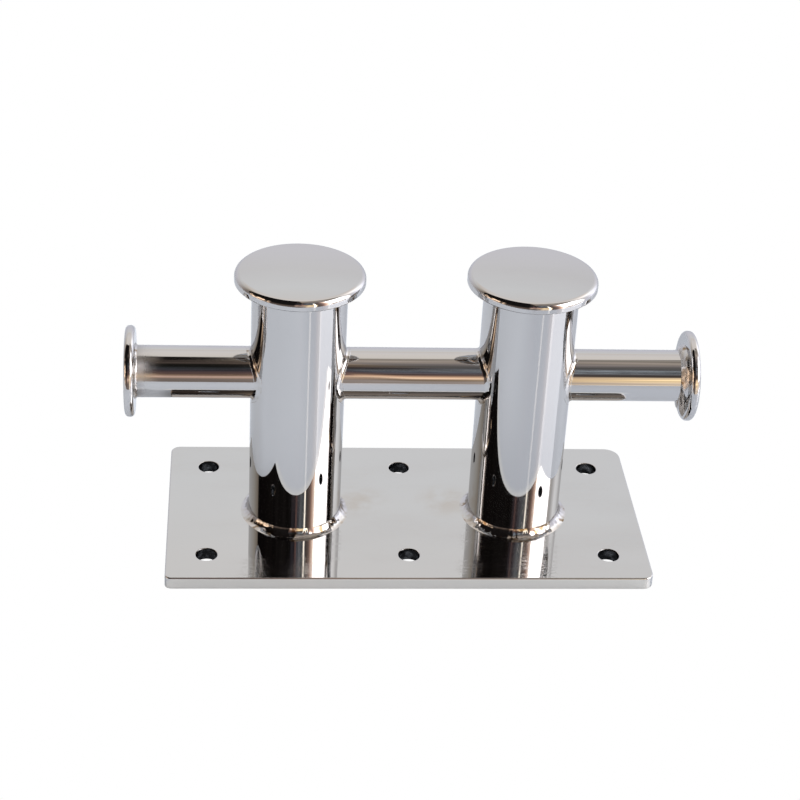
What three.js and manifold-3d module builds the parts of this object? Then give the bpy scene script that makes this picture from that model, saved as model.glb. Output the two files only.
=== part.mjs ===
// Twin-post mooring bollard with a crossbar, welded from stainless steel plate and tube.
// Millimetres, +Z up. Origin: centre of the base plate's underside. The crossbar runs along X.
import * as THREE from 'three';
import { mergeVertices } from 'three/addons/utils/BufferGeometryUtils.js';
import Module from 'manifold-3d';

const wasm = await Module();
wasm.setup();

// ---- Driving dimensions ----

const GAP = 0.3; // clearance between a weld or a bored wall and the piece it meets

const PLATE = { length: 300, width: 150, thickness: 8, brokenEdge: 1 };
const PLATE_CORNER_RADIUS = { frontLeft: 4, frontRight: 6, backRight: 10, backLeft: 6 };
const BOLT_HOLE = { diameter: 14, spacingX: 125, spacingY: 100 };

const POST = { diameter: 58, wall: 3, spacing: 140, topZ: 172 };
const CAP = { diameter: 79, thickness: 8, crown: 1.3, topEdge: 3.6, bottomEdge: 0.9 };
const BAR = { diameter: 32, wall: 3, axisZ: 109 };
const DISC = { diameter: 56, thickness: 6, edge: 2.6, outerFaceX: 175 };

const WELD_LEG = { base: 5, bar: 2.4, cap: 3, disc: { left: 1.5, right: 4 } };
const WELD_HOLLOW = 0.12; // how far a weld face sinks below its chord, as a share of the leg

const SEGMENTS = { post: 64, cap: 64, bar: 48, disc: 48, baseWeld: 48, barWeld: 40, capWeld: 48 };

// ---- Derived dimensions ----

const postRadius = POST.diameter / 2;
const postX = POST.spacing / 2;
const capRadius = CAP.diameter / 2;
const barRadius = BAR.diameter / 2;
const discRadius = DISC.diameter / 2;
const discInnerFaceX = DISC.outerFaceX - DISC.thickness;

// ---- Materials ----

function polishedSteel(colour, roughness) {
  return new THREE.MeshStandardMaterial({ color: colour, metalness: 1, roughness });
}

const plateSteel = polishedSteel(0xc6c5c3, 0.06);
const tubeSteel = polishedSteel(0xcdcccb, 0.05);
const weldSteel = polishedSteel(0xbdbab6, 0.2);

// ---- Geometry helpers ----

// A profile point: radius from the turning axis, and height along it.
function profilePoint(radius, height) {
  return new THREE.Vector2(radius, height);
}

// Points on a circular arc of a profile, from one angle to another, in degrees.
function arcPoints(centreRadius, centreHeight, radius, fromDegrees, toDegrees, steps) {
  const points = [];
  for (let i = 0; i <= steps; i += 1) {
    const angle = THREE.MathUtils.degToRad(fromDegrees + ((toDegrees - fromDegrees) * i) / steps);
    points.push(profilePoint(centreRadius + radius * Math.cos(angle), centreHeight + radius * Math.sin(angle)));
  }
  return points;
}

// Turns a profile about the Z axis. The profile runs anticlockwise, with radius to the right.
function turnedAboutZ(profile, segments) {
  const geometry = new THREE.LatheGeometry(profile, segments);
  geometry.rotateX(Math.PI / 2);
  return geometry;
}

// Turns a profile about the X axis, with its heights running towards +X or -X.
function turnedAboutX(profile, segments, side) {
  const geometry = turnedAboutZ(profile, segments);
  geometry.rotateY((side * Math.PI) / 2);
  return geometry;
}

function toSolid(geometry) {
  const bare = geometry.clone();
  bare.deleteAttribute('normal');
  bare.deleteAttribute('uv');
  const merged = mergeVertices(bare);
  return new wasm.Manifold(
    new wasm.Mesh({
      numProp: 3,
      vertProperties: new Float32Array(merged.attributes.position.array),
      triVerts: new Uint32Array(merged.index.array),
    }),
  );
}

function toGeometry(solid) {
  const mesh = solid.getMesh();
  const geometry = new THREE.BufferGeometry();
  geometry.setAttribute('position', new THREE.BufferAttribute(mesh.vertProperties, 3));
  geometry.setIndex(new THREE.BufferAttribute(mesh.triVerts, 1));
  geometry.computeVertexNormals();
  return geometry;
}

function tubeProfile(outerRadius, innerRadius, bottom, top) {
  return [
    profilePoint(outerRadius, bottom),
    profilePoint(outerRadius, top),
    profilePoint(innerRadius, top),
    profilePoint(innerRadius, bottom),
    profilePoint(outerRadius, bottom),
  ];
}

// A fillet weld in the corner between a tube and a flat face at height zero, as a closed ring
// profile: root at the tube, toe on the face, a slightly hollow weld face, toe on the tube.
function filletProfile(tubeRadius, leg, bottom) {
  const root = tubeRadius + GAP;
  const middle = leg * (0.5 - WELD_HOLLOW);
  return [
    profilePoint(root, bottom),
    profilePoint(root + leg, bottom),
    profilePoint(root + middle, bottom + middle),
    profilePoint(root, bottom + leg),
    profilePoint(root, bottom),
  ];
}

// ---- Sub-parts ----

function roundedPlateShape() {
  const halfLength = PLATE.length / 2;
  const halfWidth = PLATE.width / 2;
  const corners = [
    { x: halfLength, y: -halfWidth, radius: PLATE_CORNER_RADIUS.frontRight },
    { x: halfLength, y: halfWidth, radius: PLATE_CORNER_RADIUS.backRight },
    { x: -halfLength, y: halfWidth, radius: PLATE_CORNER_RADIUS.backLeft },
    { x: -halfLength, y: -halfWidth, radius: PLATE_CORNER_RADIUS.frontLeft },
  ];
  const shape = new THREE.Shape();
  corners.forEach((corner, index) => {
    const centreX = corner.x - Math.sign(corner.x) * corner.radius;
    const centreY = corner.y - Math.sign(corner.y) * corner.radius;
    const startAngle = ((index - 1) * Math.PI) / 2;
    shape.absarc(centreX, centreY, corner.radius, startAngle, startAngle + Math.PI / 2, false);
  });
  shape.closePath();
  return shape;
}

function boltHoleShape(x, y) {
  const hole = new THREE.Path();
  hole.absarc(x, y, BOLT_HOLE.diameter / 2, 0, Math.PI * 2, true);
  return hole;
}

function basePlateGeometry() {
  const shape = roundedPlateShape();
  for (const column of [-1, 0, 1]) {
    for (const row of [-1, 1]) {
      shape.holes.push(boltHoleShape(column * BOLT_HOLE.spacingX, (row * BOLT_HOLE.spacingY) / 2));
    }
  }
  const geometry = new THREE.ExtrudeGeometry(shape, {
    depth: PLATE.thickness - 2 * PLATE.brokenEdge,
    curveSegments: 8,
    bevelThickness: PLATE.brokenEdge,
    bevelSize: PLATE.brokenEdge,
    bevelOffset: -PLATE.brokenEdge,
    bevelSegments: 1,
  });
  geometry.translate(0, 0, PLATE.brokenEdge);
  return geometry;
}

// A post tube, centred on the Z axis and bored across for the crossbar.
function postGeometry() {
  const profile = tubeProfile(postRadius, postRadius - POST.wall, PLATE.thickness, POST.topZ);
  const tube = toSolid(turnedAboutZ(profile, SEGMENTS.post));
  const borer = new THREE.CylinderGeometry(barRadius + GAP, barRadius + GAP, POST.diameter * 2, SEGMENTS.bar);
  borer.rotateZ(Math.PI / 2);
  borer.translate(0, 0, BAR.axisZ);
  return toGeometry(tube.subtract(toSolid(borer)));
}

// A cap: flat underside, rounded rim and a slightly crowned top.
function capGeometry() {
  const top = POST.topZ + CAP.thickness;
  const shoulderRadius = capRadius - CAP.topEdge;
  const shoulderZ = top - CAP.crown - CAP.topEdge;
  const halfShoulder = shoulderRadius / 2;
  const profile = [
    profilePoint(0, POST.topZ),
    ...arcPoints(capRadius - CAP.bottomEdge, POST.topZ + CAP.bottomEdge, CAP.bottomEdge, -90, 0, 2),
    ...arcPoints(shoulderRadius, shoulderZ, CAP.topEdge, 0, 90, 4),
    profilePoint(halfShoulder, top - CAP.crown / 4),
    profilePoint(0, top),
  ];
  return turnedAboutZ(profile, SEGMENTS.cap);
}

// The crossbar: one tube that passes through both posts, from disc to disc.
function crossbarGeometry() {
  const halfLength = discInnerFaceX - GAP;
  const profile = tubeProfile(barRadius, barRadius - BAR.wall, -halfLength, halfLength);
  return turnedAboutX(profile, SEGMENTS.bar, 1);
}

// A stop disc, with its inner face at height zero and its outer face rounded at the rim.
function endDiscGeometry(side) {
  const profile = [
    profilePoint(0, 0),
    ...arcPoints(discRadius - DISC.edge, DISC.edge, DISC.edge, -90, 0, 2),
    ...arcPoints(discRadius - DISC.edge, DISC.thickness - DISC.edge, DISC.edge, 0, 90, 3),
    profilePoint(0, DISC.thickness),
  ];
  return turnedAboutX(profile, SEGMENTS.disc, side);
}

function baseWeldGeometry() {
  return turnedAboutZ(filletProfile(postRadius, WELD_LEG.base, 0), SEGMENTS.baseWeld);
}

// The weld under a cap is the base weld's shape upside down, with its flat side at height zero.
function capWeldGeometry() {
  const geometry = turnedAboutZ(filletProfile(postRadius, WELD_LEG.cap, GAP), SEGMENTS.capWeld);
  geometry.rotateX(Math.PI);
  return geometry;
}

// A disc's weld stands on the disc's inner face and tapers along the bar, away from the disc.
function discWeldGeometry(side, leg) {
  return turnedAboutX(filletProfile(barRadius, leg, GAP), SEGMENTS.barWeld, -side);
}

// A saddle weld: a ring fillet round the bar, with every point moved out along the bar until
// the ring sits on the post's curved wall. The post's axis is at x = 0 and the bar's at z = 0.
function saddleWeldGeometry(side) {
  const geometry = turnedAboutX(filletProfile(barRadius, WELD_LEG.bar, 0), SEGMENTS.barWeld, side);
  const position = geometry.attributes.position;
  for (let i = 0; i < position.count; i += 1) {
    const wallX = Math.sqrt((postRadius + GAP) ** 2 - position.getY(i) ** 2);
    position.setX(i, position.getX(i) + side * wallX);
  }
  geometry.computeVertexNormals();
  return geometry;
}

// ---- Assembly ----

const bollard = new THREE.Group();

function addPiece(name, geometry, material, x = 0, z = 0) {
  const mesh = new THREE.Mesh(geometry, material);
  mesh.name = name;
  mesh.position.set(x, 0, z);
  bollard.add(mesh);
}

addPiece('base_plate', basePlateGeometry(), plateSteel);
addPiece('crossbar', crossbarGeometry(), tubeSteel, 0, BAR.axisZ);

for (const [sideName, side] of [['left', -1], ['right', 1]]) {
  const x = side * postX;
  addPiece(`post_${sideName}`, postGeometry(), tubeSteel, x);
  addPiece(`cap_${sideName}`, capGeometry(), plateSteel, x);
  addPiece(`weld_base_${sideName}`, baseWeldGeometry(), weldSteel, x, PLATE.thickness);
  addPiece(`weld_cap_${sideName}`, capWeldGeometry(), weldSteel, x, POST.topZ);
  addPiece(`weld_bar_${sideName}_outer`, saddleWeldGeometry(side), weldSteel, x, BAR.axisZ);
  addPiece(`weld_bar_${sideName}_inner`, saddleWeldGeometry(-side), weldSteel, x, BAR.axisZ);
  addPiece(`end_disc_${sideName}`, endDiscGeometry(side), plateSteel, side * discInnerFaceX, BAR.axisZ);
  const discWeld = discWeldGeometry(side, WELD_LEG.disc[sideName]);
  addPiece(`weld_disc_${sideName}`, discWeld, weldSteel, side * discInnerFaceX, BAR.axisZ);
}

export default bollard;
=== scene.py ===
"""Twin-post mooring bollard in mirror-polished stainless steel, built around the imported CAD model."""

import math

import bmesh
import bpy
from mathutils import Matrix, Vector, noise


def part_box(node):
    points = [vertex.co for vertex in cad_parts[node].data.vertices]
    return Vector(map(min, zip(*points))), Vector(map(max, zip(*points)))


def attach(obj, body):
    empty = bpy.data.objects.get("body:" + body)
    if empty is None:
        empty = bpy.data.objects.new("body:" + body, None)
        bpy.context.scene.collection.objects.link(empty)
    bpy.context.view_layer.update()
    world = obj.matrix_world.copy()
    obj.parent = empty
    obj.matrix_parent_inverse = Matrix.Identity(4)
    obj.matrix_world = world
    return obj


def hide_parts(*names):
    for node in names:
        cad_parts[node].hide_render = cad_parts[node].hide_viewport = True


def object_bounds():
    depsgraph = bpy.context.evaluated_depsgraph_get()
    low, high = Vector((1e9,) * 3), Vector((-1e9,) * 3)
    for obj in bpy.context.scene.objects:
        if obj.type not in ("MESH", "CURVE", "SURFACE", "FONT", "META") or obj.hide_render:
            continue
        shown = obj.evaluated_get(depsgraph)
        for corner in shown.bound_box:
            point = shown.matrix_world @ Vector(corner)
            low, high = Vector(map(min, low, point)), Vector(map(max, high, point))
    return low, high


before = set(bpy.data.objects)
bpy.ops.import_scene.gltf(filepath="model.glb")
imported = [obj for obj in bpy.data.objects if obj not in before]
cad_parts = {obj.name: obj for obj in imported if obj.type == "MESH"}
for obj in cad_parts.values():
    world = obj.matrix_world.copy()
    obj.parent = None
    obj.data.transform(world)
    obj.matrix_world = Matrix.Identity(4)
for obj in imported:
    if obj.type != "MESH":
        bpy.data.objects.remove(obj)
cad_low, cad_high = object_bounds()

MM = 0.001  # Blender works in metres

# ---- Driving dimensions, in metres ----

PLATE_CORNER_RADIUS = {
    "front_left": 4 * MM,
    "front_right": 6 * MM,
    "back_right": 10 * MM,
    "back_left": 6 * MM,
}
PLATE_TOP_EDGE = 0.9 * MM
PLATE_BOTTOM_EDGE = 0.5 * MM
BOLT_HOLE_RADIUS = 6.5 * MM
BOLT_HOLE_SPREAD = Vector((125 * MM, 50 * MM))  # from the plate's centre to a corner hole
HOLE_TOP_EDGE = 0.7 * MM
HOLE_BOTTOM_EDGE = 0.3 * MM

CAP_CROWN = 1.3 * MM
CAP_TOP_EDGE = 3.6 * MM
CAP_BOTTOM_EDGE = 0.9 * MM
DISC_EDGE = 2.6 * MM
TUBE_WALL = 3 * MM
TUBE_END_EDGE = 0.3 * MM
BAR_BORE_CLEARANCE = 0.3 * MM

# A weld's leg is its reach along each surface that it joins. Its hollow is how far the middle of
# its face sinks below the straight line between the toes. Lumps and ripple are heights on that face.
WELDS = {
    "base": {"leg": 5 * MM, "hollow": 0.9 * MM, "lumps": 0.35 * MM, "ripple": 0.04 * MM},
    "cap": {"leg": 3 * MM, "hollow": 0.4 * MM, "lumps": 0.15 * MM, "ripple": 0.02 * MM},
    "bar": {"leg": 2.4 * MM, "hollow": 0.8 * MM, "lumps": 0.2 * MM, "ripple": 0.02 * MM},
    "disc_left": {"leg": 1.5 * MM, "hollow": 0.2 * MM, "lumps": 0.1 * MM, "ripple": 0.012 * MM},
    "disc_right": {"leg": 4 * MM, "hollow": -0.3 * MM, "lumps": 0.9 * MM, "ripple": 0.012 * MM},
}
# Where too much weld was laid: its middle and half width round the bar, and the share added to the leg.
WELD_OVERRUN = {"disc_right": (math.radians(208), math.radians(42), 1.3)}
WELD_BURY = 0.4 * MM  # how far a weld's toes run under the surfaces that it joins
WELD_LUMP_LENGTH = 9 * MM
WELD_LUMP_WIDTH = 4 * MM
WELD_RIPPLE_LENGTH = 0.6 * MM

SIDES = {"left": -1, "right": 1}


# ---- Places and sizes read from the CAD model ----

def centre_of(node):
    low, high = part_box(node)
    return (low + high) / 2


def size_of(node):
    low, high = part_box(node)
    return high - low


plate_low, plate_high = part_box("base_plate")
plate_top = plate_high.z
post_x = centre_of("post_right").x
post_radius = size_of("post_right").x / 2
cap_low, cap_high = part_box("cap_right")
cap_radius = (cap_high.x - cap_low.x) / 2
bar_radius = size_of("crossbar").z / 2
bar_z = centre_of("crossbar").z
disc_low, disc_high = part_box("end_disc_right")
disc_radius = (disc_high.z - disc_low.z) / 2
disc_thickness = disc_high.x - disc_low.x


# ---- Node trees ----

class Tree:
    """Adds nodes to a material or a world, and wires them by socket name."""

    def __init__(self, owner):
        owner.use_nodes = True
        self.nodes = owner.node_tree.nodes
        self.links = owner.node_tree.links
        self.nodes.clear()

    def add(self, kind, inputs=None, **settings):
        node = self.nodes.new(kind)
        for name, value in settings.items():
            setattr(node, name, value)
        for name, value in (inputs or {}).items():
            if isinstance(value, bpy.types.NodeSocket):
                self.links.new(value, node.inputs[name])
            else:
                node.inputs[name].default_value = value
        return node

    def math(self, operation, *values):
        node = self.add("ShaderNodeMath", operation=operation)
        for index, value in enumerate(values):
            if isinstance(value, bpy.types.NodeSocket):
                self.links.new(value, node.inputs[index])
            else:
                node.inputs[index].default_value = value
        return node.outputs[0]

    def span(self, value, low, high, to_low=0.0, to_high=1.0, smooth=True):
        """Maps low..high to to_low..to_high, clamped."""
        node = self.add(
            "ShaderNodeMapRange",
            {"Value": value, "From Min": low, "From Max": high, "To Min": to_low, "To Max": to_high},
            interpolation_type="SMOOTHSTEP" if smooth else "LINEAR",
        )
        return node.outputs["Result"]

    def band(self, value, start, full, still_full, end):
        """1 from full to still_full, fading to 0 at start and at end."""
        rise = self.span(value, start, full)
        fall = self.span(value, still_full, end, 1.0, 0.0)
        return self.math("MULTIPLY", rise, fall)

    def ramp(self, value, low, high, stops):
        """A colour ramp over low..high: stops are (place, (red, green, blue))."""
        node = self.add("ShaderNodeValToRGB", {"Fac": self.span(value, low, high, smooth=False)})
        elements = node.color_ramp.elements
        elements.remove(elements[1])
        for number, (place, colour) in enumerate(stops):
            position = (place - low) / (high - low)
            element = elements.new(position) if number else elements[0]
            element.position = position
            element.color = (*colour, 1)
        return node.outputs["Color"]

    def bump(self, height, distance, below=None):
        node = self.add("ShaderNodeBump", {"Height": height, "Strength": 1.0, "Distance": distance})
        if below is not None:
            self.links.new(below, node.inputs["Normal"])
        return node.outputs[0]

    def blend(self, share, first, second, mode="MIX"):
        """Mixes two colours, or multiplies them in the MULTIPLY mode. Inputs 6 and 7 are the colours."""
        node = self.add("ShaderNodeMix", data_type="RGBA", blend_type=mode)
        for index, value in ((0, share), (6, first), (7, second)):
            if isinstance(value, bpy.types.NodeSocket):
                self.links.new(value, node.inputs[index])
            elif index == 0:
                node.inputs[index].default_value = value
            else:
                node.inputs[index].default_value = (*value, 1)
        return node.outputs[2]

    def noise(self, place, scale, detail=2.0):
        node = self.add("ShaderNodeTexNoise", {"Vector": place, "Scale": scale, "Detail": detail})
        return node.outputs["Fac"]

    def finish(self, shader, kind="ShaderNodeOutputMaterial"):
        output = self.add(kind)
        self.links.new(shader.outputs[0], output.inputs["Surface"])


# ---- Materials ----

STEEL = (0.565, 0.555, 0.545)
STEEL_EDGE_TINT = (0.77, 0.77, 0.77, 1)  # steel's reflectance stays flat towards grazing angles
TARNISH = (0.24, 0.17, 0.10)
BROWNED_STEEL = (0.52, 0.485, 0.45)
WELD_SHADE = (0.46, 0.43, 0.39)
# The bore colours are painted shade: the drilled wall's dull steel darkened far below the plate's, for the
# shade inside the holes.
BORE_PAINTED_SHADE_DARK = (0.03, 0.03, 0.03)
BORE_PAINTED_SHADE_LIGHT = (0.20, 0.20, 0.20)
MIRROR_ROUGHNESS = 0.022
WIPED_ROUGHNESS = MIRROR_ROUGHNESS * 2.2
WIPED_SHADE = 0.965  # how much of its brightness the steel keeps under a wipe mark
WIPE_TURN = 0.5  # radians about Z, as are the turns of the hairlines
WIPE_SCALE = (9, 26, 14)
WAVE_SCALE = 28.0
HAIRLINE_TURNS = (0.15, -0.2)  # two sets of hairlines, which cross
HAIRLINE_THINNESS = (0.014, 0.010)
SCRATCH_DEPTH = 0.005 * MM
DULL_ROUGHNESS = 0.31
DULL_LENGTH = 24 * MM  # how far the dull patch runs along the bar from the left disc
GRAIN_STRETCH = 1.0
GRAIN_TURN = 0.25
SMUDGE_FROM_POST = 13 * MM
SMUDGE_BACK = 10 * MM
SMUDGE_CORE = 4 * MM
SMUDGE_REACH = 24 * MM


def steel_shader(tree, base, roughness, normal, turned_about=None):
    look = {"Metallic": 1.0, "Base Color": base, "Roughness": roughness}
    shader = tree.add("ShaderNodeBsdfPrincipled", look)
    if turned_about:
        grain = tree.add("ShaderNodeTangent", direction_type="RADIAL", axis=turned_about)
        shader.inputs["Anisotropic"].default_value = GRAIN_STRETCH
        shader.inputs["Anisotropic Rotation"].default_value = GRAIN_TURN
        tree.links.new(grain.outputs[0], shader.inputs["Tangent"])
    shader.inputs["Specular Tint"].default_value = STEEL_EDGE_TINT
    tree.links.new(normal, shader.inputs["Normal"])
    tree.finish(shader)


def stretched(tree, place, rotation, scale):
    node = tree.add("ShaderNodeMapping", {"Vector": place, "Rotation": rotation, "Scale": scale})
    return node.outputs["Vector"]


def hairlines(tree, place, turn, scale, thinness):
    """Fine scratches: the middle level of a noise that is stretched along one direction."""
    lines = tree.noise(stretched(tree, place, (0, 0, turn), scale), 1.0, 3.0)
    distance = tree.math("ABSOLUTE", tree.math("SUBTRACT", lines, 0.5))
    return tree.span(distance, 0.0, thinness, 1.0, 0.0)


def start_material(name):
    """A new material, its node tree, and the place on the piece in the frame's metres."""
    material = bpy.data.materials.new(name)
    tree = Tree(material)
    return material, tree, tree.add("ShaderNodeTexCoord").outputs["Object"]


def polished_steel(
    name, waviness, scratch_scale, scratch_roughness,
    scratch_depth=SCRATCH_DEPTH, dull_patch=None, stain=None, turned_about=None,
):
    """Mirror-polished steel: a slow waviness, hairlines from the buffing wheel, and faint wipe marks.
    dull_patch and stain are functions that return an area, from 0 to 1, that is duller or slightly
    browned. turned_about names the axis that the grinding grain runs round."""
    material, tree, place = start_material(name)
    wipe = tree.noise(stretched(tree, place, (0, 0, WIPE_TURN), WIPE_SCALE), 1.0, 4.0)
    crossing = [
        hairlines(tree, place, turn, scratch_scale, thinness)
        for turn, thinness in zip(HAIRLINE_TURNS, HAIRLINE_THINNESS)
    ]
    marks = tree.math("MULTIPLY", tree.math("MAXIMUM", *crossing), tree.span(wipe, 0.40, 0.65))
    rough = tree.span(wipe, 0.3, 0.8, MIRROR_ROUGHNESS, WIPED_ROUGHNESS)
    rough = tree.math("ADD", rough, tree.math("MULTIPLY", marks, scratch_roughness))
    wiped_steel = tuple(channel * WIPED_SHADE for channel in STEEL)
    colour = tree.blend(tree.span(wipe, 0.35, 0.8), STEEL, wiped_steel)
    if dull_patch:
        rough = tree.math("ADD", rough, tree.math("MULTIPLY", dull_patch(tree, place), DULL_ROUGHNESS))
    if stain:
        colour = tree.blend(stain(tree, place), colour, BROWNED_STEEL)
    wave = tree.bump(tree.noise(place, WAVE_SCALE, 1.0), waviness)
    steel_shader(tree, colour, rough, tree.bump(marks, scratch_depth, wave), turned_about)
    return material


def browned_by_welding(tree, place):
    """Faint brown smudges on the plate between the posts, next to each base weld."""
    x, y, _ = tree.add("ShaderNodeSeparateXYZ", {"Vector": place}).outputs
    across = tree.math("SUBTRACT", tree.math("ABSOLUTE", x), post_x - post_radius - SMUDGE_FROM_POST)
    along = tree.math("SUBTRACT", y, SMUDGE_BACK)
    squares = tree.math("ADD", tree.math("POWER", across, 2.0), tree.math("POWER", along, 2.0))
    nearness = tree.span(tree.math("SQRT", squares), SMUDGE_CORE, SMUDGE_REACH, 1.0, 0.0)
    patches = tree.span(tree.noise(place, 60.0, 3.0), 0.35, 0.65)
    return tree.math("MULTIPLY", nearness, patches)


def ground_by_left_disc(tree, place):
    """The end of the bar beside the left disc, left duller by the wheel that ground its weld back."""
    x = tree.add("ShaderNodeSeparateXYZ", {"Vector": place}).outputs["X"]
    near_disc = tree.span(x, -disc_low.x, -disc_low.x + DULL_LENGTH, 1.0, 0.0)
    return tree.math("POWER", near_disc, 1.5)


def weld_steel(name, roughness, lumps):
    """A polished-over weld: brighter and duller patches, with small pits and ripples left in it."""
    material, tree, place = start_material(name)
    patch = tree.noise(place, 190.0, 3.0)
    colour = tree.blend(tree.span(patch, 0.45, 0.75), STEEL, WELD_SHADE)
    colour = tree.blend(tree.span(tree.noise(place, 130.0, 3.0), 0.56, 0.70), colour, TARNISH)
    rough = tree.span(patch, 0.35, 0.75, roughness * 0.6, roughness * 1.8)
    steel_shader(tree, colour, rough, tree.bump(tree.noise(place, 170.0, 1.0), lumps))
    return material


def bored_steel_painted_shade(name):
    """The wall of a drilled hole: unpolished and ringed with fine tool marks. Its colour is painted shade,
    much darker than unpolished steel, for the shade inside the hole.
    """
    material, tree, place = start_material(name)
    rings = tree.noise(stretched(tree, place, (0, 0, 0), (90, 90, 2600)), 1.0, 3.0)
    # Streaks of noise between the two levels of the painted shade.
    stain = tree.noise(place, 240.0, 2.0)
    colour = tree.blend(tree.span(stain, 0.45, 0.75), BORE_PAINTED_SHADE_DARK, BORE_PAINTED_SHADE_LIGHT)
    rough = tree.span(rings, 0.3, 0.7, 0.15, 0.35)
    steel_shader(tree, colour, rough, tree.bump(rings, 0.03 * MM))
    return material


# ---- Mesh building ----

class Surface:
    """A closed mesh made of rings of points, each point with its own exact normal."""

    def __init__(self):
        self.points = []
        self.normals = []
        self.faces = []

    def ring(self, points, normals):
        start = len(self.points)
        self.points.extend(points)
        self.normals.extend(normals)
        return list(range(start, len(self.points)))

    def bridge(self, first, second):
        """Joins two rings of the same length with a band of quads."""
        for index in range(len(first)):
            following = (index + 1) % len(first)
            self.faces.append((first[index], first[following], second[following], second[index]))

    def fan(self, ring, pole):
        for index in range(len(ring)):
            self.faces.append((ring[index], ring[(index + 1) % len(ring)], pole))

    def to_object(self, name):
        mesh = bpy.data.meshes.new(name)
        mesh.from_pydata([tuple(p) for p in self.points], [], self.faces)
        make_consistent(mesh)
        mesh.shade_smooth()
        mesh.normals_split_custom_set_from_vertices([tuple(n) for n in self.normals])
        return add_object(name, mesh)


def make_consistent(mesh):
    body = bmesh.new()
    body.from_mesh(mesh)
    bmesh.ops.recalc_face_normals(body, faces=body.faces)
    body.to_mesh(mesh)
    body.free()


def add_object(name, mesh):
    thing = bpy.data.objects.new(name, mesh)
    bpy.context.scene.collection.objects.link(thing)
    return thing


def arc(radius, height, bend, start, end, steps):
    """Profile points (radius, height, normal angle in degrees) on an arc that bends with radius bend."""
    points = []
    for step in range(steps + 1):
        angle = start + (end - start) * step / steps
        turn = math.radians(angle)
        points.append((radius + bend * math.cos(turn), height + bend * math.sin(turn), angle))
    return points


def straight(start, end, facing, steps):
    """Profile points on a straight stretch, without its two ends."""
    points = []
    for step in range(1, steps):
        radius = start[0] + (end[0] - start[0]) * step / steps
        height = start[1] + (end[1] - start[1]) * step / steps
        points.append((radius, height, facing))
    return points


def turned(name, profile, segments, place):
    """Turns a profile about its height axis. It closes on the axis at each end, or on itself."""
    surface = Surface()
    turn = place.to_3x3()
    rings = []
    for radius, height, facing in profile:
        out = math.cos(math.radians(facing))
        up = math.sin(math.radians(facing))
        count = 1 if radius == 0 else segments
        angles = [2 * math.pi * number / count for number in range(count)]
        points = [place @ Vector((radius * math.cos(a), radius * math.sin(a), height)) for a in angles]
        normals = [turn @ Vector((out * math.cos(a), out * math.sin(a), up)) for a in angles]
        rings.append(surface.ring(points, normals))
    closed = len(rings[0]) > 1
    pairs = list(zip(rings, rings[1:])) + ([(rings[-1], rings[0])] if closed else [])
    for first, second in pairs:
        if len(first) == 1:
            surface.fan(second, first[0])
        elif len(second) == 1:
            surface.fan(first, second[0])
        else:
            surface.bridge(first, second)
    return surface.to_object(name)


def upright(x, z):
    return Matrix.Translation((x, 0, z))


def along_x(x, z, side):
    """Places a profile's height axis along +X or -X."""
    return Matrix.Translation((x, 0, z)) @ Matrix.Rotation(side * math.pi / 2, 4, "Y")


def tube_profile(radius, bottom, top, steps):
    """A tube's wall with lightly broken ends: up the outside and back down the inside."""
    inner = radius - TUBE_WALL
    edge = TUBE_END_EDGE
    profile = arc(radius - edge, bottom + edge, edge, -90, 0, 3)
    profile += straight((radius, bottom + edge), (radius, top - edge), 0, steps)
    profile += arc(radius - edge, top - edge, edge, 0, 90, 3)
    profile += arc(inner + edge, top - edge, edge, 90, 180, 3)
    profile += straight((inner, top - edge), (inner, bottom + edge), 180, steps)
    profile += arc(inner + edge, bottom + edge, edge, 180, 270, 3)
    return profile


# ---- Base plate ----

CORNER_STEPS = 12
HOLE_SEGMENTS = 96
STEEP = 0.7  # a face whose normal rises less than this belongs to a hole's wall


def plate_outline():
    """The plate's outline as (point, outward direction), anticlockwise from the front right corner."""
    corners = [
        (plate_high.x, plate_low.y, PLATE_CORNER_RADIUS["front_right"]),
        (plate_high.x, plate_high.y, PLATE_CORNER_RADIUS["back_right"]),
        (plate_low.x, plate_high.y, PLATE_CORNER_RADIUS["back_left"]),
        (plate_low.x, plate_low.y, PLATE_CORNER_RADIUS["front_left"]),
    ]
    outline = []
    for index, (x, y, radius) in enumerate(corners):
        centre = Vector((x - math.copysign(radius, x), y - math.copysign(radius, y)))
        for step in range(CORNER_STEPS + 1):
            angle = (index - 1 + step / CORNER_STEPS) * math.pi / 2
            out = Vector((math.cos(angle), math.sin(angle)))
            outline.append((centre + out * radius, out))
    return outline


def hole_outline(x, y):
    outline = []
    for step in range(HOLE_SEGMENTS):
        angle = 2 * math.pi * step / HOLE_SEGMENTS
        out = Vector((math.cos(angle), math.sin(angle)))
        outline.append((Vector((x, y)) + out * BOLT_HOLE_RADIUS, -out))
    return outline


def edge_profile(top_edge, bottom_edge):
    """A plate edge from its top face to its underside: (inset, height, normal angle)."""
    top = arc(0, plate_top - top_edge, top_edge, 90, 0, 8)
    bottom = arc(0, plate_low.z + bottom_edge, bottom_edge, 0, -90, 4)
    profile = [(top_edge - reach, height, facing) for reach, height, facing in top]
    profile += [(bottom_edge - reach, height, facing) for reach, height, facing in bottom]
    return profile


def edge_wall(surface, outline, profile):
    """Builds the wall along an outline, and returns its top ring and its bottom ring."""
    rings = []
    for inset, height, facing in profile:
        out = math.cos(math.radians(facing))
        up = math.sin(math.radians(facing))
        points = [Vector((*(point - normal * inset), height)) for point, normal in outline]
        normals = [Vector((*(normal * out), up)) for _, normal in outline]
        rings.append(surface.ring(points, normals))
    for first, second in zip(rings, rings[1:]):
        surface.bridge(first, second)
    return rings[0], rings[-1]


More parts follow.
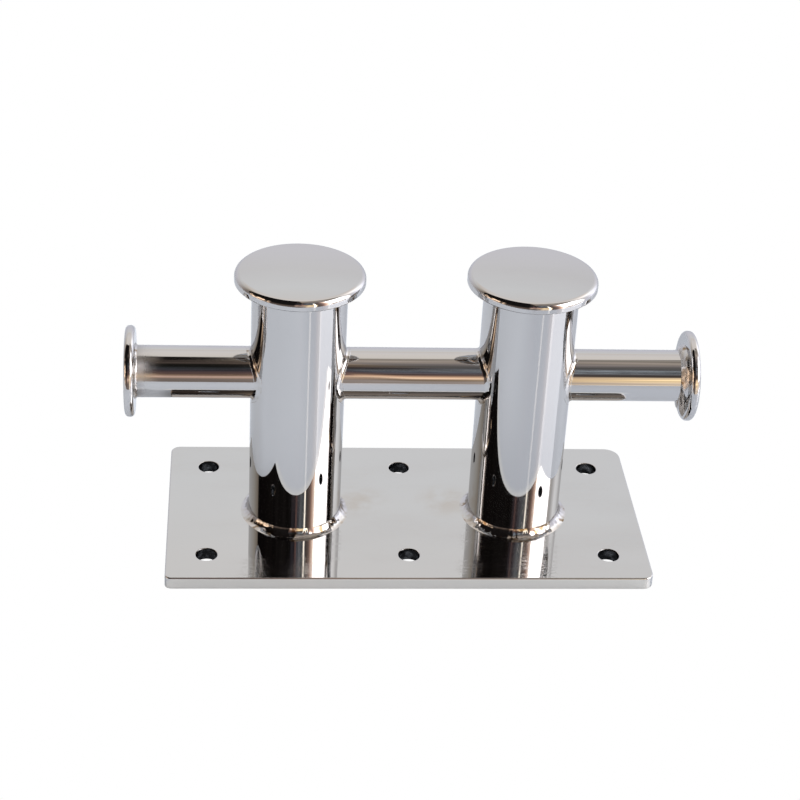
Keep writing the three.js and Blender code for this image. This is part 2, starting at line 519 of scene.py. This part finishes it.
def base_plate():
    """The plate: its outer wall, the walls of its six holes, and the two flat faces between them."""
    surface = Surface()
    walls = [edge_wall(surface, plate_outline(), edge_profile(PLATE_TOP_EDGE, PLATE_BOTTOM_EDGE))]
    for column in (-1, 0, 1):
        for row in (-1, 1):
            hole = hole_outline(column * BOLT_HOLE_SPREAD.x, row * BOLT_HOLE_SPREAD.y)
            walls.append(edge_wall(surface, hole, edge_profile(HOLE_TOP_EDGE, HOLE_BOTTOM_EDGE)))
    for rings in zip(*walls):
        surface.faces.extend(filled(surface.points, rings))
    return surface.to_object("base_plate_polished")


def mark_bores(plate):
    """Gives the walls of the bolt holes the plate's second material, which carries painted shade. The
    rounded edges keep the first.
    """
    hole_centres = [Vector((column, BOLT_HOLE_SPREAD.y)) for column in (0, BOLT_HOLE_SPREAD.x)]
    bore_reach = BOLT_HOLE_RADIUS + HOLE_TOP_EDGE / 4
    for face in plate.data.polygons:
        spot = Vector((abs(face.center.x), abs(face.center.y)))
        near_hole = min((spot - centre).length for centre in hole_centres) < bore_reach
        steep = abs(face.normal.z) < STEEP
        face.material_index = 1 if near_hole and steep else 0


def filled(points, rings):
    """Triangles that fill the flat face between an outline and the holes in it."""
    body = bmesh.new()
    edges = []
    numbers = {}
    for ring in rings:
        made = [body.verts.new(points[index]) for index in ring]
        numbers.update(zip(made, ring))
        edges += [body.edges.new((made[i - 1], made[i])) for i in range(len(made))]
    result = bmesh.ops.triangle_fill(body, use_beauty=True, edges=edges)
    faces = [f for f in result["geom"] if isinstance(f, bmesh.types.BMFace)]
    triangles = [tuple(numbers[v] for v in face.verts) for face in faces]
    body.free()
    return triangles


# ---- Posts, caps, bar and discs ----

POST_SEGMENTS = 256
POST_WALL_STEPS = 24
CAP_SEGMENTS = 512
CAP_RIM_STEPS = 24
CROWN_STEPS = 24
DISC_SEGMENTS = 256
DISC_EDGE_STEPS = 10
BAR_SEGMENTS = 192
BAR_WALL_STEPS = 48
FACE_STEPS = 4
WALL_TOLERANCE = 0.02 * MM


def borer(x):
    """A solid rod across the post at x, wider than the bar by the clearance in the bore."""
    reach = post_radius * 2
    radius = bar_radius + BAR_BORE_CLEARANCE
    profile = [(0, -reach, -90), (radius, -reach, 0), (radius, reach, 0), (0, reach, 90)]
    return turned("borer", profile, BAR_SEGMENTS, along_x(x, bar_z, 1))


def post(side_name):
    """A post tube, bored across for the bar. Its outer wall keeps the exact normals of a cylinder."""
    x = SIDES[side_name] * post_x
    profile = tube_profile(post_radius, plate_top, cap_low.z, POST_WALL_STEPS)
    tube = turned(f"post_{side_name}_tube", profile, POST_SEGMENTS, upright(x, 0))
    cutter = borer(x)
    cut = tube.modifiers.new("bore", "BOOLEAN")
    cut.operation = "DIFFERENCE"
    cut.solver = "EXACT"
    cut.object = cutter
    bpy.context.view_layer.update()
    evaluated = tube.evaluated_get(bpy.context.evaluated_depsgraph_get())
    shaped = bpy.data.meshes.new_from_object(evaluated)
    tube.modifiers.clear()
    tube.data = shaped
    bpy.data.objects.remove(cutter)
    wall_normals(shaped, x)
    return tube


def wall_normals(mesh, x):
    """Points each corner on the outer wall straight out from the post's axis. The rest stays flat."""
    outer = post_radius - WALL_TOLERANCE
    mesh.shade_smooth()
    normals = []
    for face in mesh.polygons:
        corners = [mesh.vertices[number].co for number in face.vertices]
        spokes = [Vector((corner.x - x, corner.y, 0)) for corner in corners]
        on_wall = min(spoke.length for spoke in spokes) > outer
        normals += [tuple(spoke.normalized() if on_wall else face.normal) for spoke in spokes]
    mesh.normals_split_custom_set(normals)


def cap(side_name):
    """A cap with a rounded rim that runs smoothly into a low crown, which is a shallow parabola."""
    foot = cap_radius - CAP_BOTTOM_EDGE
    shoulder = cap_radius - CAP_TOP_EDGE
    tilt = math.atan(2 * CAP_CROWN / shoulder)
    rim_radius = shoulder + CAP_TOP_EDGE * math.sin(tilt)
    rim_centre_z = cap_high.z - CAP_CROWN - CAP_TOP_EDGE
    rim_z = rim_centre_z + CAP_TOP_EDGE * math.cos(tilt)
    fall = math.tan(tilt) / (2 * rim_radius)
    profile = [(0, cap_low.z, -90)]
    profile += straight((0, cap_low.z), (foot, cap_low.z), -90, FACE_STEPS)
    profile += arc(foot, cap_low.z + CAP_BOTTOM_EDGE, CAP_BOTTOM_EDGE, -90, 0, 8)
    profile += arc(shoulder, rim_centre_z, CAP_TOP_EDGE, 0, 90 - math.degrees(tilt), CAP_RIM_STEPS)
    for step in range(CROWN_STEPS - 1, -1, -1):
        radius = rim_radius * step / CROWN_STEPS
        height = rim_z + fall * (rim_radius ** 2 - radius ** 2)
        profile.append((radius, height, 90 - math.degrees(math.atan(2 * fall * radius))))
    place = upright(SIDES[side_name] * post_x, 0)
    return turned(f"cap_{side_name}_polished", profile, CAP_SEGMENTS, place)


def crossbar():
    half = size_of("crossbar").x / 2
    profile = tube_profile(bar_radius, -half, half, BAR_WALL_STEPS)
    return turned("crossbar_tube", profile, BAR_SEGMENTS, along_x(0, bar_z, 1))


def end_disc(side_name):
    side = SIDES[side_name]
    rim = disc_radius - DISC_EDGE
    profile = [(0, 0, -90)]
    profile += straight((0, 0), (rim, 0), -90, FACE_STEPS)
    profile += arc(rim, DISC_EDGE, DISC_EDGE, -90, 0, DISC_EDGE_STEPS)
    profile += arc(rim, disc_thickness - DISC_EDGE, DISC_EDGE, 0, 90, DISC_EDGE_STEPS)
    profile += straight((rim, disc_thickness), (0, disc_thickness), 90, FACE_STEPS)
    profile += [(0, disc_thickness, 90)]
    place = along_x(side * disc_low.x, bar_z, side)
    return turned(f"end_disc_{side_name}_polished", profile, DISC_SEGMENTS, place)


# ---- Welds ----

BEAD_SEGMENTS = 360
BEAD_STEPS = 18
TOE_SHARE = 0.08  # how much of its length a weld's face runs on past each toe
SWELL = 0.10  # how much a weld's leg varies round the tube
SWELL_PITCH = 0.9
LUMP_PITCH = 1.6
RIPPLE_WANDER = 4  # radians
DIAGONAL = math.sqrt(0.5)


def bead_section(leg, hollow):
    """A fillet's face as (distance from the tube, height up it), from the toe on the flat to the toe
    on the tube."""
    points = []
    for step in range(BEAD_STEPS + 1):
        share = -TOE_SHARE + (1 + 2 * TOE_SHARE) * step / BEAD_STEPS
        sink = hollow * (1 - (2 * share - 1) ** 2) * DIAGONAL
        points.append((leg * (1 - share) - sink, leg * share - sink))
    return points


def overrun_spread(angle, overrun):
    """How many times its usual width a weld has on the flat at an angle round the tube."""
    if not overrun:
        return 1.0
    middle, half_width, extra = overrun
    return 1 + extra * max(0, 1 - ((angle - middle) / half_width) ** 2) ** 2


def bead_faces():
    """Quads that join each row of a bead's points to the next row. A row is the face and its root."""
    row = BEAD_STEPS + 2
    faces = []
    for segment in range(BEAD_SEGMENTS):
        here = segment * row
        following = ((segment + 1) % BEAD_SEGMENTS) * row
        for step in range(row):
            ahead = (step + 1) % row
            faces.append((here + step, following + step, following + ahead, here + ahead))
    return faces


def bead(name, tube_radius, kind, seed, put):
    """A fillet weld round a tube. put turns (radius, height, angle) into a point in the frame."""
    weld = WELDS[kind]
    points = []
    for segment in range(BEAD_SEGMENTS):
        angle = 2 * math.pi * segment / BEAD_SEGMENTS
        spot = Vector((math.cos(angle), math.sin(angle), seed)) * tube_radius / WELD_LUMP_LENGTH
        swell = 1 + SWELL * noise.noise(spot * SWELL_PITCH)
        spread = overrun_spread(angle, WELD_OVERRUN.get(kind))
        ripple_turn = angle * tube_radius / WELD_RIPPLE_LENGTH + RIPPLE_WANDER * noise.noise(spot)
        wave = weld["ripple"] * math.sin(ripple_turn)
        for step, (out, up) in enumerate(bead_section(weld["leg"] * swell, weld["hollow"])):
            out *= spread
            lump_spot = spot * LUMP_PITCH + Vector((out, up, 0)) / WELD_LUMP_WIDTH
            bump = noise.noise(lump_spot) * weld["lumps"]
            inside = math.sin(math.pi * step / BEAD_STEPS)
            rise = (bump + wave) * inside * DIAGONAL
            points.append(put(tube_radius + out + rise, up + rise, angle))
        points.append(put(tube_radius - WELD_BURY, -WELD_BURY, angle))
    mesh = bpy.data.meshes.new(name)
    mesh.from_pydata(points, [], bead_faces())
    make_consistent(mesh)
    mesh.shade_smooth()
    return add_object(name, mesh)


def on_flat(x, z, direction):
    """Places a bead on a level face, standing up (+1) or hanging down (-1)."""
    def put(radius, height, angle):
        return (x + radius * math.cos(angle), radius * math.sin(angle), z + direction * height)
    return put


def on_disc(x, direction):
    """Places a bead on a disc's inner face, round the bar."""
    def put(radius, height, angle):
        return (x + direction * height, radius * math.sin(angle), bar_z + radius * math.cos(angle))
    return put


def on_post(x, direction):
    """Places a bead round the bar on a post's curved wall."""
    def put(radius, height, angle):
        y = radius * math.sin(angle)
        wall = math.sqrt(post_radius ** 2 - y ** 2)
        return (x + direction * (wall + height), y, bar_z + radius * math.cos(angle))
    return put


# ---- Assembly ----

plate_finish = polished_steel(
    "polished_plate_steel", waviness=0.06 * MM, scratch_scale=(60, 900, 60), scratch_roughness=0.10,
    stain=browned_by_welding,
)
disc_finish = polished_steel(
    "polished_disc_steel", waviness=0.03 * MM, scratch_scale=(60, 500, 60), scratch_roughness=0.05,
    scratch_depth=0.0,
)
tube_finish = polished_steel(
    "polished_tube_steel", waviness=0.02 * MM, scratch_scale=(40, 40, 900), scratch_roughness=0.06,
    scratch_depth=0.0,
)
bar_finish = polished_steel(
    "polished_bar_steel", waviness=0.02 * MM, scratch_scale=(30, 900, 900), scratch_roughness=0.06,
    scratch_depth=0.0, dull_patch=ground_by_left_disc, turned_about="X",
)
bore_painted_shade_finish = bored_steel_painted_shade("bored_steel_painted_shade")
weld_finish = weld_steel("polished_weld_steel", roughness=0.03, lumps=0.16 * MM)
rough_weld_finish = weld_steel("rough_weld_steel", roughness=0.26, lumps=0.06 * MM)


def add_piece(piece, node, material, bore_shaded_material=None):
    piece.data.materials.clear()
    piece.data.materials.append(material)
    if bore_shaded_material:
        piece.data.materials.append(bore_shaded_material)
    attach(piece, "root")
    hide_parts(node)


def add_weld(node, tube_radius, kind, seed, put, material):
    add_piece(bead(f"{node}_bead", tube_radius, kind, seed, put), node, material)


plate = base_plate()
add_piece(plate, "base_plate", plate_finish, bore_painted_shade_finish)
mark_bores(plate)
add_piece(crossbar(), "crossbar", bar_finish)

# Each weld's seed gives it its own stretch of the noise that shapes it.
WELD_SEED = 3.7

for side_name, side in SIDES.items():
    x = side * post_x
    seed = WELD_SEED * side
    add_piece(post(side_name), f"post_{side_name}", tube_finish)
    add_piece(cap(side_name), f"cap_{side_name}", disc_finish)
    add_piece(end_disc(side_name), f"end_disc_{side_name}", disc_finish)
    add_weld(f"weld_base_{side_name}", post_radius, "base", seed, on_flat(x, plate_top, 1), weld_finish)
    add_weld(f"weld_cap_{side_name}", post_radius, "cap", seed + 1, on_flat(x, cap_low.z, -1), weld_finish)
    for end, direction in (("outer", side), ("inner", -side)):
        node = f"weld_bar_{side_name}_{end}"
        add_weld(node, bar_radius, "bar", seed + 2 * direction, on_post(x, direction), weld_finish)
    against_disc = on_disc(side * disc_low.x, -side)
    kind = f"disc_{side_name}"
    add_weld(f"weld_disc_{side_name}", bar_radius, kind, seed + 5, against_disc, rough_weld_finish)


# ---- Camera ----

CAMERA_PLACE = Vector((-0.10926, -1.10560, 0.74892))
CAMERA_PITCH = math.radians(30.692)  # below the horizon
CAMERA_YAW = math.radians(5.322)  # from +Y towards +X
CAMERA_ROLL = math.radians(-3.169)
CAMERA_LENS = 93.7  # millimetres, as is the sensor
CAMERA_SENSOR = 36


def add_camera():
    ahead = Vector((math.sin(CAMERA_YAW), math.cos(CAMERA_YAW), 0))
    forward = ahead * math.cos(CAMERA_PITCH) - Vector((0, 0, math.sin(CAMERA_PITCH)))
    level = Vector((ahead.y, -ahead.x, 0))
    down = forward.cross(level)
    right = math.cos(CAMERA_ROLL) * level + math.sin(CAMERA_ROLL) * down
    up = math.sin(CAMERA_ROLL) * level - math.cos(CAMERA_ROLL) * down
    data = bpy.data.cameras.new("camera")
    data.lens = CAMERA_LENS
    data.sensor_width = CAMERA_SENSOR
    camera = bpy.data.objects.new("camera", data)
    turn = Matrix((right, up, -forward)).transposed().to_4x4()
    camera.matrix_world = Matrix.Translation(CAMERA_PLACE) @ turn
    bpy.context.scene.collection.objects.link(camera)
    bpy.context.scene.camera = camera


add_camera()


# ---- Studio: a white table, a white tent behind, a dim room in front and a window to the right ----

TABLE_FRONT = -0.375
TABLE_BACK = 2.5
TABLE_HALF_WIDTH = 2.0
TABLE_DROP = 0.2 * MM  # keeps the table just clear of the plate
TABLE_COLOUR = (0.80, 0.875, 0.95)
# Painted shade: the table's colour turns darker towards the right, so the steel mirrors a dimmer table
# there.
TABLE_PAINTED_SHADE_RIGHT = (0.67, 0.735, 0.81)
TABLE_PAINTED_SHADE_CHANGE = (-0.10, 0.12)  # the stretch of X where the first colour turns into the second
# Painted light: a lighter table colour in a strip along the front of the plate.
TABLE_PAINTED_LIGHT_AT_PLATE = (0.95, 1.0, 1.0)
PAINTED_LIGHT_STRIP_START = 22 * MM  # in front of the plate
PAINTED_LIGHT_STRIP_FULL = 10 * MM  # in front of the plate
PAINTED_LIGHT_STRIP_UNDER = 4 * MM  # how far it fades out under the plate
PAINTED_LIGHT_STRIP_PAST_END = 10 * MM  # how far it fades out past the plate's ends
TABLE_ROUGHNESS = 0.04
TABLE_IOR = 1.6

WINDOW_COLOUR = (0.98, 0.985, 1.05)
WINDOW_RADIANCE = 3.8
WINDOW_SIZE = (2.3, 3.46)
WINDOW_AZIMUTH = math.radians(69)  # from the front, -Y, towards +X
WINDOW_DISTANCE = 3.0
WINDOW_HEIGHT = 2.16

CEILING_RADIANCE = 2.0
CEILING_SIZE = 2.0
CEILING_PLACE = (0, -0.3, 2.5)

RED_STRIP_COLOUR = (0.25, 0.15, 0.14, 1)
RED_STRIP_WIDTH = 0.10
RED_STRIP_HEIGHTS = (0.60, 1.40)
RED_STRIP_DISTANCE = 1.45

LAMP_COLOUR = (2.2, 1.6, 1.15)
DOOR_GAP_COLOUR = (3.3, 3.05, 2.7)
TENT_EDGE = (95.5, 97.5)  # the pitch where the front of the room gives way to the tent
TENT_EDGE_SLOPE = 20.0  # degrees further back per unit of direction towards the left
TENT_FLOOR_EDGE = (-88, -92)  # the same change below the table


def white_to_camera(tree, white_kind, lit, output_kind):
    """The camera sees plain white, and the steel sees the shader lit."""
    white = tree.add(white_kind, {"Color": (1, 1, 1, 1), "Strength": 1.0})
    from_camera = tree.add("ShaderNodeLightPath").outputs["Is Camera Ray"]
    mix = tree.add("ShaderNodeMixShader", {"Fac": from_camera})
    tree.links.new(lit.outputs[0], mix.inputs[1])
    tree.links.new(white.outputs[0], mix.inputs[2])
    tree.finish(mix, output_kind)


def painted_light_in_front_of_plate(tree, x, y):
    """A strip of table along the front of the plate, from 0 to 1, where the table's colour is painted
    lighter: painted light.
    """
    front = plate_low.y
    end = plate_high.x
    depth = tree.band(
        y, front - PAINTED_LIGHT_STRIP_START, front - PAINTED_LIGHT_STRIP_FULL, front, front + PAINTED_LIGHT_STRIP_UNDER
    )
    width = tree.span(tree.math("ABSOLUTE", x), end, end + PAINTED_LIGHT_STRIP_PAST_END, 1.0, 0.0)
    return tree.math("MULTIPLY", depth, width)


def table_material():
    material, tree, place = start_material("white_table")
    x, y, _ = tree.add("ShaderNodeSeparateXYZ", {"Vector": place}).outputs
    # Painted shade: the table's colour darkens towards the right.
    colour = tree.blend(tree.span(x, *TABLE_PAINTED_SHADE_CHANGE), TABLE_COLOUR, TABLE_PAINTED_SHADE_RIGHT)
    # Painted light: the table's colour is lighter along the front of the plate.
    colour = tree.blend(painted_light_in_front_of_plate(tree, x, y), colour, TABLE_PAINTED_LIGHT_AT_PLATE)
    gloss = {"Base Color": colour, "Roughness": TABLE_ROUGHNESS, "IOR": TABLE_IOR}
    lit = tree.add("ShaderNodeBsdfPrincipled", gloss)
    white_to_camera(tree, "ShaderNodeEmission", lit, "ShaderNodeOutputMaterial")
    return material


def add_table():
    """The camera sees the table as plain white. The steel sees it lit, with a slight gloss, with painted
    shade towards its right and painted light along the front of the plate.
    """
    mesh = bpy.data.meshes.new("table")
    corners = [
        (-TABLE_HALF_WIDTH, TABLE_FRONT, 0),
        (TABLE_HALF_WIDTH, TABLE_FRONT, 0),
        (TABLE_HALF_WIDTH, TABLE_BACK, 0),
        (-TABLE_HALF_WIDTH, TABLE_BACK, 0),
    ]
    mesh.from_pydata(corners, [], [(0, 1, 2, 3)])
    mesh.materials.append(table_material())
    table = add_object("table", mesh)
    table.location.z = cad_low.z - TABLE_DROP


def add_window():
    data = bpy.data.lights.new("window", "AREA")
    data.shape = "RECTANGLE"
    data.color = WINDOW_COLOUR
    data.size, data.size_y = WINDOW_SIZE
    data.energy = WINDOW_RADIANCE * math.pi * data.size * data.size_y
    window = bpy.data.objects.new("window", data)
    to_right = WINDOW_DISTANCE * math.sin(WINDOW_AZIMUTH)
    to_front = WINDOW_DISTANCE * math.cos(WINDOW_AZIMUTH)
    window.location = (to_right, -to_front, WINDOW_HEIGHT)
    window.rotation_euler = (math.pi / 2, 0, WINDOW_AZIMUTH)
    bpy.context.scene.collection.objects.link(window)


def add_ceiling_light():
    """A soft light overhead that brightens the table. The steel doesn't mirror it."""
    data = bpy.data.lights.new("ceiling", "AREA")
    data.color = WINDOW_COLOUR
    data.size = CEILING_SIZE
    data.energy = CEILING_RADIANCE * math.pi * data.size ** 2
    ceiling = bpy.data.objects.new("ceiling", data)
    ceiling.location = CEILING_PLACE
    ceiling.visible_glossy = False
    ceiling.visible_camera = False
    bpy.context.scene.collection.objects.link(ceiling)


def add_red_strip():
    """A narrow dark red post behind the camera, seen only in the steel."""
    low, high = RED_STRIP_HEIGHTS
    side = RED_STRIP_WIDTH / 2
    mesh = bpy.data.meshes.new("red_strip")
    corners = [(-side, low), (side, low), (side, high), (-side, high)]
    mesh.from_pydata([(x, -RED_STRIP_DISTANCE, z) for x, z in corners], [], [(0, 1, 2, 3)])
    material = bpy.data.materials.new("dark_red")
    tree = Tree(material)
    tree.finish(tree.add("ShaderNodeEmission", {"Color": RED_STRIP_COLOUR, "Strength": 1.0}))
    mesh.materials.append(material)
    strip = add_object("red_strip", mesh)
    strip.visible_camera = False


# The room is a colour for each direction. Azimuth is the angle from the front, -Y, towards +X.
# Elevation is the angle above the horizon. Pitch runs from the front, at 0, over the top, at 90, to
# the back, at 180. All are in degrees, and each ramp below gives the colours along one of them.

def front_left(tree, pitch):
    """The stretch to the left of straight ahead."""
    return tree.ramp(pitch, -30, 100, [
        (-30, (0.30, 0.26, 0.24)),
        (-3, (0.30, 0.24, 0.21)),
        (1, (0.50, 0.35, 0.28)),
        (7, (1.10, 0.77, 0.62)),
        (11, (0.62, 0.42, 0.32)),
        (14, (0.30, 0.19, 0.14)),
        (18, (0.17, 0.11, 0.09)),
        (27, (0.12, 0.08, 0.078)),
        (35, (0.06, 0.055, 0.065)),
        (44, (0.040, 0.042, 0.045)),
        (53, (0.014, 0.014, 0.012)),
        (61, (0.016, 0.014, 0.012)),
        (68, (0.11, 0.085, 0.075)),
        (77, (0.10, 0.078, 0.067)),
        (84, (0.05, 0.042, 0.035)),
        (93, (0.03, 0.025, 0.02)),
    ])


def front_middle(tree, azimuth, pitch):
    """The stretch to the right of straight ahead. Its pattern sits 7 degrees higher at its left edge."""
    lift = tree.span(azimuth, 3.8, 5.0, 7.0, 0.0)
    return tree.ramp(tree.math("SUBTRACT", pitch, lift), -30, 100, [
        (-30, (0.55, 0.48, 0.44)),
        (-8, (0.52, 0.44, 0.40)),
        (-1, (0.32, 0.23, 0.16)),
        (4, (0.70, 0.50, 0.36)),
        (8, (1.65, 1.17, 0.83)),
        (13, (1.30, 0.84, 0.55)),
        (17, (0.75, 0.46, 0.31)),
        (21, (0.24, 0.15, 0.13)),
        (26, (0.15, 0.11, 0.11)),
        (32, (0.16, 0.15, 0.17)),
        (38, (0.20, 0.21, 0.24)),
        (44, (0.19, 0.19, 0.19)),
        (52, (0.09, 0.07, 0.07)),
        (61, (0.23, 0.17, 0.12)),
        (70, (0.50, 0.38, 0.28)),
        (80, (0.56, 0.47, 0.37)),
        (90, (0.36, 0.31, 0.26)),
        (94, (0.10, 0.08, 0.07)),
    ])


def front_right(tree, pitch):
    """The stretch further to the right, up to the side wall."""
    return tree.ramp(pitch, -30, 108, [
        (-30, (1.00, 0.85, 0.68)),
        (-8, (1.10, 0.90, 0.70)),
        (0, (1.20, 0.92, 0.58)),
        (7, (1.70, 1.28, 0.73)),
        (14, (1.50, 1.13, 0.72)),
        (18, (1.20, 0.92, 0.60)),
        (21, (0.20, 0.16, 0.13)),
        (24, (0.08, 0.065, 0.06)),
        (30, (0.10, 0.09, 0.09)),
        (39, (0.26, 0.28, 0.30)),
        (48, (0.28, 0.30, 0.32)),
        (54, (0.14, 0.135, 0.135)),
        (62, (0.18, 0.17, 0.165)),
        (72, (0.33, 0.29, 0.28)),
        (82, (0.56, 0.48, 0.42)),
        (91, (0.47, 0.41, 0.36)),
        (100, (0.36, 0.33, 0.30)),
        (104, (0.16, 0.14, 0.13)),
    ])


def front_far_left(tree, pitch):
    """The rest of the front, on the left, which is nearly black."""
    return tree.ramp(pitch, -30, 100, [
        (-30, (0.30, 0.26, 0.24)),
        (0, (0.15, 0.11, 0.09)),
        (20, (0.015, 0.013, 0.012)),
        (90, (0.010, 0.008, 0.008)),
    ])


def front_wall(tree, azimuth, pitch):
    """The dim front of the room, in four stretches from left to right."""
    middle = front_middle(tree, azimuth, pitch)
    front = tree.blend(tree.span(azimuth, 0, 5), front_left(tree, pitch), middle)
    front = tree.blend(tree.span(azimuth, 6, 12), front, front_right(tree, pitch))
    return tree.blend(tree.span(azimuth, -12, -7, 1.0, 0.0), front, front_far_left(tree, pitch))


def with_clutter(tree, front, direction, pitch):
    """Uneven light over the whole front, and streaks of light and dark like shelves half way up."""
    clutter = tree.noise(stretched(tree, direction, (0, 0, 0), (9, 9, 14)), 1.0, 3.0)
    uneven = tree.ramp(clutter, 0, 1, [(0.3, (0.6,) * 3), (0.7, (1.4,) * 3)])
    front = tree.blend(1.0, front, uneven, "MULTIPLY")
    shelves = tree.noise(stretched(tree, direction, (0, 0, 0), (150, 40, 22)), 1.0, 3.0)
    shelf_light = tree.ramp(shelves, 0, 1, [(0.40, (0.45, 0.42, 0.42)), (0.60, (1.55, 1.62, 1.7))])
    shelf_height = tree.band(pitch, 28, 36, 50, 62)
    return tree.blend(shelf_height, front, tree.blend(1.0, front, shelf_light, "MULTIPLY"))


def with_lamps(tree, front, direction, azimuth, elevation):
    """A few warm lamps low on the left."""
    height = tree.band(elevation, -10, -6, 18, 24)
    width = tree.band(azimuth, -96, -90, -56, -50)
    flicker = tree.span(tree.noise(direction, 7.0, 1.0), 0.44, 0.54)
    lamps = tree.math("MULTIPLY", tree.math("MULTIPLY", height, width), flicker)
    return tree.blend(lamps, front, LAMP_COLOUR)


def with_side_wall(tree, front, azimuth, elevation):
    """The wall on the right, and the bright gap of a door where it meets the front."""
    side_wall = tree.ramp(azimuth, 24, 100, [
        (24, (0.08, 0.07, 0.06)),
        (28, (0.14, 0.11, 0.10)),
        (34, (0.24, 0.18, 0.16)),
        (38, (0.45, 0.30, 0.26)),
        (42, (1.20, 0.78, 0.60)),
        (46, (2.10, 1.70, 1.45)),
        (50, (2.80, 2.40, 2.10)),
        (54, (1.00, 0.85, 0.75)),
        (78, (1.00, 0.90, 0.80)),
        (86, (1.20, 1.15, 1.12)),
        (98, (1.05, 1.02, 1.02)),
    ])
    at_side = tree.math("MULTIPLY", tree.span(azimuth, 26, 29), tree.span(elevation, 45, 58, 1.0, 0.0))
    front = tree.blend(at_side, front, side_wall)
    door_width = tree.band(azimuth, 22.0, 22.8, 25.4, 26.2)
    door_gap = tree.math("MULTIPLY", door_width, tree.span(elevation, 38, 44, 1.0, 0.0))
    return tree.blend(door_gap, front, DOOR_GAP_COLOUR)


def white_tent(tree, azimuth, pitch, elevation):
    """The tent behind the object and over it, dimmer and warmer towards its left edge."""
    back_wall = tree.ramp(azimuth, -180, 180, [
        (-180, (1.00, 0.99, 0.98)),
        (-144, (0.90, 0.88, 0.86)),
        (-126, (0.74, 0.70, 0.64)),
        (-112, (0.50, 0.43, 0.36)),
        (-104, (0.30, 0.25, 0.20)),
        (90, (1.10, 1.07, 1.07)),
        (99, (1.00, 0.98, 0.98)),
        (106, (1.40, 1.36, 1.34)),
        (115, (2.00, 1.98, 2.00)),
        (128, (1.80, 1.80, 1.80)),
        (140, (1.20, 1.18, 1.17)),
        (160, (0.98, 0.97, 0.97)),
        (180, (1.00, 0.99, 0.98)),
    ])
    sky_tint = tree.ramp(elevation, 8, 42, [
        (8, (0.96, 0.98, 1.10)),
        (20, (1.00, 1.01, 1.09)),
        (27, (0.97, 0.98, 1.02)),
        (33, (1.01, 1.04, 1.08)),
        (36, (1.00, 1.00, 1.01)),
        (41, (0.99, 0.94, 0.91)),
    ])
    back_wall = tree.blend(1.0, back_wall, sky_tint, "MULTIPLY")
    overhead = tree.ramp(pitch, 90, 180, [
        (94, (0.90, 0.86, 0.79)),
        (103, (1.04, 0.98, 0.93)),
        (122, (1.05, 1.00, 0.97)),
        (132, (1.04, 1.04, 1.08)),
        (180, (1.04, 1.04, 1.08)),
    ])
    return tree.blend(tree.span(elevation, 40, 60), back_wall, overhead)


def behind_tent_edge(tree, x, pitch):
    """1 where the tent is. Its front edge passes overhead, and runs back towards both sides."""
    leaning = tree.math("MULTIPLY", tree.math("MINIMUM", x, 0.0), -TENT_EDGE_SLOPE)
    step_on_right = tree.span(x, 0.08, 0.22, 0.0, 8.0, smooth=False)
    leaning = tree.math("ADD", leaning, step_on_right)
    edge = tree.math("SUBTRACT", pitch, leaning)
    return tree.math("MAXIMUM", tree.span(edge, *TENT_EDGE), tree.span(pitch, *TENT_FLOOR_EDGE))


def add_room():
    world = bpy.data.worlds.new("room")
    bpy.context.scene.world = world
    tree = Tree(world)
    direction = tree.add("ShaderNodeTexCoord").outputs["Generated"]
    x, y, z = tree.add("ShaderNodeSeparateXYZ", {"Vector": direction}).outputs
    forward = tree.math("MULTIPLY", y, -1.0)
    pitch = tree.math("DEGREES", tree.math("ARCTAN2", z, forward))
    azimuth = tree.math("DEGREES", tree.math("ARCTAN2", x, forward))
    elevation = tree.math("DEGREES", tree.math("ARCSINE", z))
    front = with_clutter(tree, front_wall(tree, azimuth, pitch), direction, pitch)
    front = with_lamps(tree, front, direction, azimuth, elevation)
    front = with_side_wall(tree, front, azimuth, elevation)
    tent = white_tent(tree, azimuth, pitch, elevation)
    colour = tree.blend(behind_tent_edge(tree, x, pitch), front, tent)
    lit = tree.add("ShaderNodeBackground", {"Color": colour, "Strength": 1.0})
    white_to_camera(tree, "ShaderNodeBackground", lit, "ShaderNodeOutputWorld")


add_table()
add_window()
add_ceiling_light()
add_red_strip()
add_room()
bpy.context.scene.view_settings.view_transform = "Standard"
